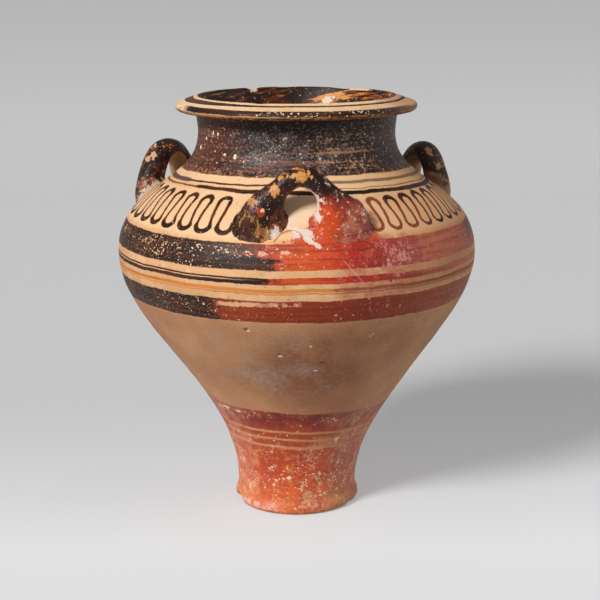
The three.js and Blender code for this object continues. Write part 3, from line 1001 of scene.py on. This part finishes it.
def lip_material():
    """The lip: cream rings and dark lines on top, a dark edge, and dark slip inside the mouth."""
    paint = Paint("painted_lip")
    turn = paint.turn
    reach = paint.radius + paint.noise(14) * 0.2 + paint.speck * 0.1
    level = paint.z - RIM_TILT_RIGHT * paint.x - RIM_TILT_BACK * paint.y

    # Top and edge
    ground = paint.blend(0.2 + paint.patch.above(0.2, 0.6) * 0.5, CREAM, BUFF)
    ground = paint.blend(turn.above(55, 15) * 0.65, ground, BUFF_BROWN)
    dark = dark_slip(paint)
    left = turn.below(-40, 32)
    line = reach.between(46.8 - 0.7 * left, 48.3 + 1.6 * left, 0.15)
    strayed = level + paint.speck * 0.3
    edge = reach.above(52.3, 0.15) * strayed.above(183.8 - 0.4 * turn.above(0, 25), 0.25)
    edge = edge * turn.above(-62, 4) * strayed.below(187.5 - 2.7 * turn.above(62, 14), 0.4)
    under = strayed.below(183.6, 0.3) * reach.above(47, 0.5)
    colour = paint.blend(line, ground, paint.blend(left * 0.5, dark, BROWN))
    colour.lay(edge * (1 - 0.35 * turn.above(56, 12)), dark)
    ticks = (paint.speck + paint.flake * 0.5).above(0.5, 0.15)
    ticks = ticks * reach.above(52.6, 0.4) * turn.near(-84, 24, 6)
    colour.lay(ticks * 0.85, "3b2118")
    flecks = (paint.flake * 0.8 + paint.speck * 0.4).above(0.6, 0.12) * turn.near(12, 34, 10) * edge
    colour.lay(flecks, PALE_CHIP)
    brown = paint.blend((paint.brush + paint.speck * 0.7).above(0.1, 0.5), "ab703c", "4d2a1c")
    colour.lay(under, brown)

    # Inside of the mouth
    mouth = reach.below(44.3, 0.15)
    streaks = paint.noise(1.3, stretch=(9, 9, 1), detail=3, roughness=0.6, slant=9)
    inner = paint.blend((streaks + paint.patch * 0.5).above(0.2, 0.6) * 0.65, BLACK, "6d331a")
    inner.lay(turn.between(105, 146, 12) * streaks.above(0, 0.5) * 0.7, "9c5526")
    rising = level + (turn - 158) * 0.16 + paint.speck * 0.4
    glow = (streaks * 0.8 + turn.near(157, 11, 8) * rising.between(180, 185.6, 0.8)).above(0.75, 0.2)
    glow = glow.at_least((streaks * 1.2 + paint.speck * 0.3).above(0.75, 0.2) * turn.between(112, 150, 8))
    inner.lay(glow, "cf8634")
    inner.lay(paint.spots([(159.5, 182.6, 5.2, 3.6), (155.6, 184, 2, 1.6)]), "d8bca4")
    inner.lay((paint.flake + paint.speck * 0.3).above(1.0, 0.1) * 0.8, "c79f80")
    colour.lay(mouth, inner)

    chips = paint.spots([(-152, 187.5, 4, 2.4), (138, 188.4, 15, 1.4)])
    colour.lay(chips * 0.85, "e2bd9c")
    painted = (line + edge + mouth).at_most(1)
    roughness = 0.56 - 0.1 * painted + paint.speck * 0.06
    height = painted * 0.05 + paint.grain * 0.01 + paint.speck * 0.04
    return paint.finish(colour, roughness, height)


def floor_material():
    """Bare clay with the rings that fingers leave, for the floor of the jar."""
    paint = Paint("bare_clay")
    rings = paint.maths("SINE", paint.radius * 1.4 + paint.patch)
    return paint.finish(clay(paint), 0.7 + paint.speck * 0.05, rings * 0.08 + paint.speck * 0.04)


# Pieces of the wall

wall_paint = wall_material()
lip_paint = lip_material()
floor_paint = floor_material()


def seam(name):
    """Heights of a slanted joint, at the outer face and at the inner face."""
    return SEAMS[name] + SCARF / 2, SEAMS[name] - SCARF / 2


LIP_SEAM = (NECK_TOP, NECK_TOP - SCARF)


def wall_section(name, lower, upper):
    """A section of the wall: up its outer face and down its inner face."""
    outer, outer_normals = wall_profile(heights_between(lower[0], upper[0]))
    inner, inner_normals = wall_profile(heights_between(upper[1], lower[1]), WALL)
    parts = [(outer, outer_normals, 0.0), (inner, -inner_normals, 1.0)]
    ring_piece(name, parts, wall_paint)


def foot_ring():
    """The foot: a standing ring with a worn rounded edge, chipped on its left."""
    foot_radius = STEM_RADIUS + FOOT_FLARE
    recess = STEM_RADIUS - WALL
    hollow = recess - LEDGE_WIDTH
    bevel = 0.5
    # Points near its edges keep the sole flat under smooth shading
    sole = np.array([(hollow + bevel, 0), (hollow + 2, 0), (foot_radius - FOOT_ROUND - 1.5, 0)])
    edge = arc((foot_radius - FOOT_ROUND, FOOT_ROUND), FOOT_ROUND, -90, 0)
    halfway = (FOOT_ROUND + FOOT_HEIGHT) / 2
    # Every sixth point is enough for so small a flare
    flare = bezier(
        (foot_radius, FOOT_ROUND),
        (foot_radius, halfway),
        (STEM_RADIUS, halfway),
        (STEM_RADIUS, FOOT_HEIGHT),
    )[6:-3:6]
    upper, upper_normals = wall_profile(heights_between(FOOT_HEIGHT, seam("foot")[0]))
    top = wall_profile(np.array([seam("foot")[1]]), WALL)[0]
    ledge = np.array([
        (recess, FOOT_HOLLOW),
        (recess - bevel, FOOT_HOLLOW),
        (hollow + bevel, FOOT_HOLLOW),
        (hollow, FOOT_HOLLOW - bevel),
        (hollow, bevel),
    ])
    parts = [
        (np.vstack([sole, edge, flare]), None, 0.0),
        (upper, upper_normals, 0.0),
        (np.vstack([top, ledge]), None, 1.0),
    ]

    def chipped(points):
        points = pressed(points, math.radians(-73), 0.8, foot_radius, (-1.8, 2.2), 4.5, 2.2)
        return pressed(points, math.radians(62), 0.5, foot_radius, (-0.8, 0.3), 3.0, 2.0)

    ring_piece("foot_ring", parts, wall_paint, chipped)


def floor_disc():
    """The floor: a disc on the foot's ledge, a little dished."""
    top = FOOT_HOLLOW + FLOOR_THICKNESS
    radius = STEM_RADIUS - WALL - SLIP
    across = np.linspace(0.02, radius, 14)
    below = np.stack([across, FOOT_HOLLOW + SLIP + 0 * across], -1)
    above = np.stack([across, top + 0.4 * (across / radius) ** 2], -1)[::-1]
    parts = [(below, None, 1.0), (above, None, 1.0)]
    ring_piece("floor_disc", parts, floor_paint)


def lip_ring():
    """The lip: level below, rounded at its edge, sloping up to the chipped edge of the mouth."""
    edge_radius = LIP_THICKNESS / 2
    mouth_radius = NECK_RADIUS - WALL + MOUTH_FLARE
    under = NECK_TOP + SLIP
    top = under + LIP_THICKNESS + LIP_CROWN
    edge_centre = np.array([NECK_RADIUS + LIP_OVERHANG - edge_radius, under + edge_radius])
    mouth_centre = np.array([mouth_radius + MOUTH_ROUND, top - MOUTH_ROUND])
    across = mouth_centre - edge_centre
    slope = math.degrees(math.atan2(-across[1], -across[0]))
    lean = math.degrees(math.asin((edge_radius - MOUTH_ROUND) / np.linalg.norm(across)))
    square_to_top = 90 + slope - lean
    edge = arc(edge_centre, edge_radius, -90, square_to_top, 22)
    mouth = arc(mouth_centre, MOUTH_ROUND, square_to_top, 180, 10)
    start = np.array([NECK_RADIUS + NECK_FLARE, NECK_TOP])
    below = start + (edge[0] - start) * np.linspace(0, 1, 6)[:-1, None]
    slope_top = edge[-1] + (mouth[0] - edge[-1]) * np.linspace(0, 1, 12)[1:-1, None]
    foot = wall_profile(np.array([LIP_SEAM[1]]), WALL)[0]
    throat = mouth[-1] + (foot[0] - mouth[-1]) * np.linspace(0, 1, 10)[1:, None]
    parts = [(np.vstack([below, edge, slope_top, mouth, throat]), None, 0.0)]
    chip_height = 1.6

    def chipped(points):
        for turn, drop, width in ((-152, 1.3, 2.4), (150, 0.7, 6.0), (-172, 0.3, 3.0), (-20, 0.3, 2.5)):
            at = math.radians(turn)
            points = pressed(points, at, top, mouth_radius + 1, (0, -drop), width, chip_height)
        return points

    ring_piece("lip_ring", parts, lip_paint, chipped)


foot_ring()
floor_disc()
wall_section("stem_wall", seam("foot"), seam("stem"))
wall_section("belly_wall", seam("stem"), seam("belly"))
wall_section("shoulder_wall", seam("belly"), seam("neck"))
wall_section("neck_collar", seam("neck"), LIP_SEAM)
lip_ring()


# Handles


def evenly(points, count):
    """Points at even steps along a line, and how far along it they lie."""
    steps = np.linalg.norm(np.diff(points, axis=0), axis=1)
    along = np.concatenate([[0], np.cumsum(steps)])
    at = np.linspace(0, along[-1], count)
    return np.stack([np.interp(at, along, points[:, axis]) for axis in range(3)], -1), at


def length_of(points):
    return np.linalg.norm(np.diff(points, axis=0), axis=1).sum()


def turned(points, turn):
    cosine, sine = math.cos(turn), math.sin(turn)
    x, y, z = points[..., 0], points[..., 1], points[..., 2]
    return np.stack([cosine * x - sine * y, sine * x + cosine * y, z], -1)


def unit(vectors):
    return vectors / np.maximum(np.linalg.norm(vectors, axis=-1, keepdims=True), 1e-9)


ROOT_RADIUS = float(wall_radius(ROOT_LEVEL))


def handle_side(handle, side):
    """The middle line of one side of a handle at the front, from its top to its buried end.

    With each point comes its share of the way from the top to the root.
    """
    reach = handle["right"] if side > 0 else handle["left"]
    middle = (handle["right"] + handle["left"]) / 2
    root = np.array([side * reach, -math.sqrt(ROOT_RADIUS**2 - reach**2), ROOT_LEVEL])
    outwards = np.array([root[0], root[1], 0]) / ROOT_RADIUS
    top_depth = -math.sqrt(ROOT_RADIUS**2 - middle**2) + handle["lean"]
    top = np.array([handle["skew"], top_depth, ROOT_LEVEL + handle["rise"]])
    bend = root - np.array([0, 0, ROOT_BEND])
    buried = bend - outwards * ROOT_BEND
    leg = root + np.array([-side * LEG_SPLAY, 0, LEG_REACH])
    shoulder = top + np.array([side * handle["top_reach"], 0, 0])
    arch = bezier(top, shoulder, leg, root)
    line, along = evenly(np.vstack([arch, bezier(root, bend, buried)[1:]]), COIL_RINGS)
    return line, along / length_of(arch)


def handle_line(handle):
    left, left_share = handle_side(handle, -1)
    right, right_share = handle_side(handle, 1)
    return np.vstack([left[:0:-1], right]), np.concatenate([left_share[:0:-1], right_share])


def handle_frames(line, from_top):
    """Directions across the coil at each point: towards the loop, and towards the neck."""
    tangent = unit(np.gradient(line, axis=0))
    inwards = unit(np.cross([0, 1, 0], tangent))
    first = np.argmax(from_top <= 1)
    last = len(line) - 1 - np.argmax(from_top[::-1] <= 1)
    inwards[:first] = inwards[first]
    inwards[last:] = inwards[last]
    back = unit(np.cross(tangent, inwards))
    return np.cross(back, tangent), back


def spread_on_wall(points, centres):
    """Points near the wall moved outwards to a fillet, and none of them deep inside it."""
    square = wall_normal(turn_of(points), points[..., 2])
    away = points - centres
    away = unit(away - (away * square).sum(-1, keepdims=True) * square)
    closeness = 1 - np.clip(wall_gap(points) / FILLET, 0, 1)
    points = points + away * (FILLET * (1 - np.sqrt(1 - closeness**2)))[..., None]
    depth = np.maximum(-SINK - wall_gap(points), 0)
    return points + square * depth[..., None]


def handle_piece(handle, material):
    """One coil of clay bent to a loop, with its ends spread on to the shoulder."""
    line, from_top = handle_line(handle)
    inwards, back = handle_frames(line, from_top)
    spread = smooth_step(np.clip(from_top, 0, 1), EVEN_SHARE, 1)
    side = np.sign(np.arange(len(line)) - len(line) / 2)
    lumps = 1 + LUMPINESS * np.sin(from_top * 8 * side + handle["phase"])
    root_width = np.where(side < 0, *handle["widths"])
    half_width = (handle["top"] + (root_width - handle["top"]) * spread) / 2 * lumps
    root_depth = np.where(side < 0, *handle["depths"])
    half_depth = (handle["depth"] + (root_depth - handle["depth"]) * spread) / 2
    angles = np.linspace(0, 2 * math.pi, COIL_SIDES, endpoint=False)
    cosine = np.cos(angles)[None, :, None]
    sine = np.sin(angles)[None, :, None]
    points = (
        line[:, None]
        + inwards[:, None] * half_width[:, None, None] * cosine
        + back[:, None] * half_depth[:, None, None] * sine
    )
    turn = math.radians(handle["turn"])
    points = spread_on_wall(turned(points, turn), turned(line, turn)[:, None])
    bare_from = handle["bare_from"]
    bare = smooth_step(np.cos(angles), bare_from - BARE_SOFT, bare_from + BARE_SOFT)
    bare = bare[None] * smooth_step(from_top, 1.2, 1.0)[:, None]
    rings = len(line)
    last = (rings - 1) * COIL_SIDES
    faces = loop_faces(rings, COIL_SIDES, closed=False)
    faces.append(tuple(range(COIL_SIDES))[::-1])
    faces.append(tuple(range(last, last + COIL_SIDES)))
    faces = [face[::-1] for face in faces]
    root = 1 - np.clip(wall_gap(points) / ROOT_REACH, 0, 1)
    marks = {"bare": bare.ravel(), "root": root.ravel()}
    make_piece(handle["name"], points.reshape(-1, 3), faces, material, None, marks)


def pad_piece(handle, side, material):
    """A flat wad pressed round one root of a handle: the right one for side 1, the left for -1."""
    reach = handle["right"] if side > 0 else handle["left"]
    middle = math.radians(handle["turn"]) + side * math.asin((reach + PAD_OUTSET) / ROOT_RADIUS)
    shares = np.linspace(0, 1, PAD_RINGS)[:, None]
    angles = np.linspace(0, 2 * math.pi, PAD_SIDES, endpoint=False)[None]
    rim = 1 + 0.05 * np.sin(3 * angles + handle["phase"] + side) + 0.03 * np.sin(5 * angles - side)
    steep = math.sqrt(1 + float(wall_slope(ROOT_LEVEL)) ** 2)
    turns = middle + PAD_WIDTH / 2 * shares * rim * np.cos(angles) / ROOT_RADIUS
    heights = ROOT_LEVEL + PAD_HEIGHT / 2 * shares * rim * np.sin(angles) / steep
    on_wall = wall_point(turns, heights)
    square = wall_normal(turns, heights)
    crown = handle["pad"] * (1 - shares**2) ** 2 + 0 * angles
    above = on_wall + square * crown[..., None]
    below = on_wall - square * (SINK * (1 - 0.3 * shares) + 0 * angles)[..., None]
    points = np.vstack([above[::-1].reshape(-1, 3), below.reshape(-1, 3)])
    faces = [face[::-1] for face in loop_faces(2 * PAD_RINGS, PAD_SIDES, closed=False)]
    name = handle["name"] + ("_right_pad" if side > 0 else "_left_pad")
    marks = {"bare": np.zeros(len(points)), "root": np.ones(len(points))}
    make_piece(name, points, faces, material, None, marks)


RIGHT_PATCHES = [(62, 160, 1.7, 1.7), (66, 153.4, 1.4, 1.6), (63, 150, 2.1, 1.0)]
LEFT_PATCHES = [(-66.4, 159.3, 1.7, 1.9), (-65.8, 163, 0.7, 0.9), (-69, 157.5, 1.1, 1.2)]
slips = {
    "front_handle": front_handle_material(),
    "right_handle": side_handle_material(
        "slip_on_right_handle", shift=5.0, patches=RIGHT_PATCHES, foot="a97d63", foot_from=0.42,
        foot_reach=90, shaded_loop_face="a8866b",
    ),
    "left_handle": side_handle_material(
        "slip_on_left_handle", shift=9.0, patches=LEFT_PATCHES, foot="c9aa98", foot_from=0.8,
        foot_reach=73, shaded_loop_face="b08c69",
    ),
}
for handle in HANDLES:
    handle_piece(handle, slips[handle["name"]])
    for side in (-1, 1):
        pad_piece(handle, side, slips[handle["name"]])


# Stage: a pale floor that sweeps up behind the jar, two soft suns and a pale sky

PAPER_GLOW = 0.43

# The camera, in metres and degrees
LENS = 83.94
SENSOR_WIDTH = 36.0
CAMERA_PLACE = (0.00157, -0.6293, 0.2368)
CAMERA_PITCH = 77.24


def backdrop_paper():
    """Grey paper that looks paler than the light it gives back to the jar."""
    paint = Paint("backdrop_paper")
    # Darker towards the back and up the wall: a painted falloff of the light
    falloff_tone = paint.ramp(paint.y + paint.z, [
        (-110, "e7e8e9"), (-65, "eaebec"), (0, "dfe0e2"), (100, "d3d2d3"),
        (160, "cdcdcd"), (800, "cbcbcb"), (1300, "c3c3c3"), (1760, "b3b2b3"),
        (2600, "9d9c9d"),
    ])
    inputs = {"Color": paint.blend(PAPER_GLOW, falloff_tone, "000000"), "Roughness": 0.0}
    paper = paint.node("ShaderNodeBsdfDiffuse", inputs).outputs[0]
    rays = paint.node("ShaderNodeLightPath").outputs
    seen = paint.maths("MAXIMUM", rays["Is Camera Ray"], rays["Is Glossy Ray"])
    seen = seen.at_least(Value(paint, rays["Is Transmission Ray"]))
    glow = paint.node("ShaderNodeEmission", {"Color": falloff_tone, "Strength": seen * PAPER_GLOW * 0.9})
    both = paint.node("ShaderNodeAddShader", {0: paper, 1: glow.outputs[0]})
    paint.node("ShaderNodeOutputMaterial", {"Surface": both.outputs[0]})
    return paint.material


def backdrop():
    """The floor and the wall behind it, in metres; its paper is paler near the front, a painted falloff of
    light.
    """
    front, back, bend, top, half = -1.8, 0.9, 1.5, 2.6, 3.4
    sweep = arc((back, bend), bend, -90, 0, 24)
    profile = [(front, 0.0), (-0.6, 0.0), (0.0, 0.0), (0.8, 0.0), *sweep.tolist(), (back + bend, top)]
    points = [(side * half, y, z) for y, z in profile for side in (-1, 1)]
    faces = [(2 * row, 2 * row + 1, 2 * row + 3, 2 * row + 2) for row in range(len(profile) - 1)]
    mesh = bpy.data.meshes.new("backdrop")
    mesh.from_pydata(points, [], faces)
    mesh.polygons.foreach_set("use_smooth", [True] * len(mesh.polygons))
    mesh.materials.append(backdrop_paper())
    made = placed("backdrop", mesh)


def sun(name, turn, elevation, spread, strength):
    """A soft sun from a turn round the jar and a height above the floor; angles are in degrees."""
    light = bpy.data.lights.new(name, "SUN")
    light.angle = math.radians(spread)
    light.energy = strength
    made = placed(name, light)
    level = math.cos(math.radians(elevation))
    at = Vector((
        level * math.sin(math.radians(turn)),
        -level * math.cos(math.radians(turn)),
        math.sin(math.radians(elevation)),
    ))
    made.location = at * 2
    made.rotation_euler = at.to_track_quat("Z", "Y").to_euler()


def sky(strength):
    world = bpy.data.worlds.new("studio")
    world.use_nodes = True
    background = world.node_tree.nodes["Background"]
    background.inputs["Color"].default_value = (1, 1, 1, 1)
    background.inputs["Strength"].default_value = strength
    bpy.context.scene.world = world


def set_camera():
    camera = bpy.data.cameras.new("camera")
    camera.lens = LENS
    camera.sensor_width = SENSOR_WIDTH
    camera.clip_start = 0.01
    camera.clip_end = 50
    made = placed("camera", camera)
    made.location = CAMERA_PLACE
    made.rotation_euler = (math.radians(CAMERA_PITCH), 0, 0)
    bpy.context.scene.camera = made


backdrop()
sun("key", turn=-42, elevation=34, spread=16, strength=3.7)
sun("fill", turn=85, elevation=8, spread=60, strength=0.8)
sky(0.24)
set_camera()
bpy.context.scene.view_settings.view_transform = "Standard"
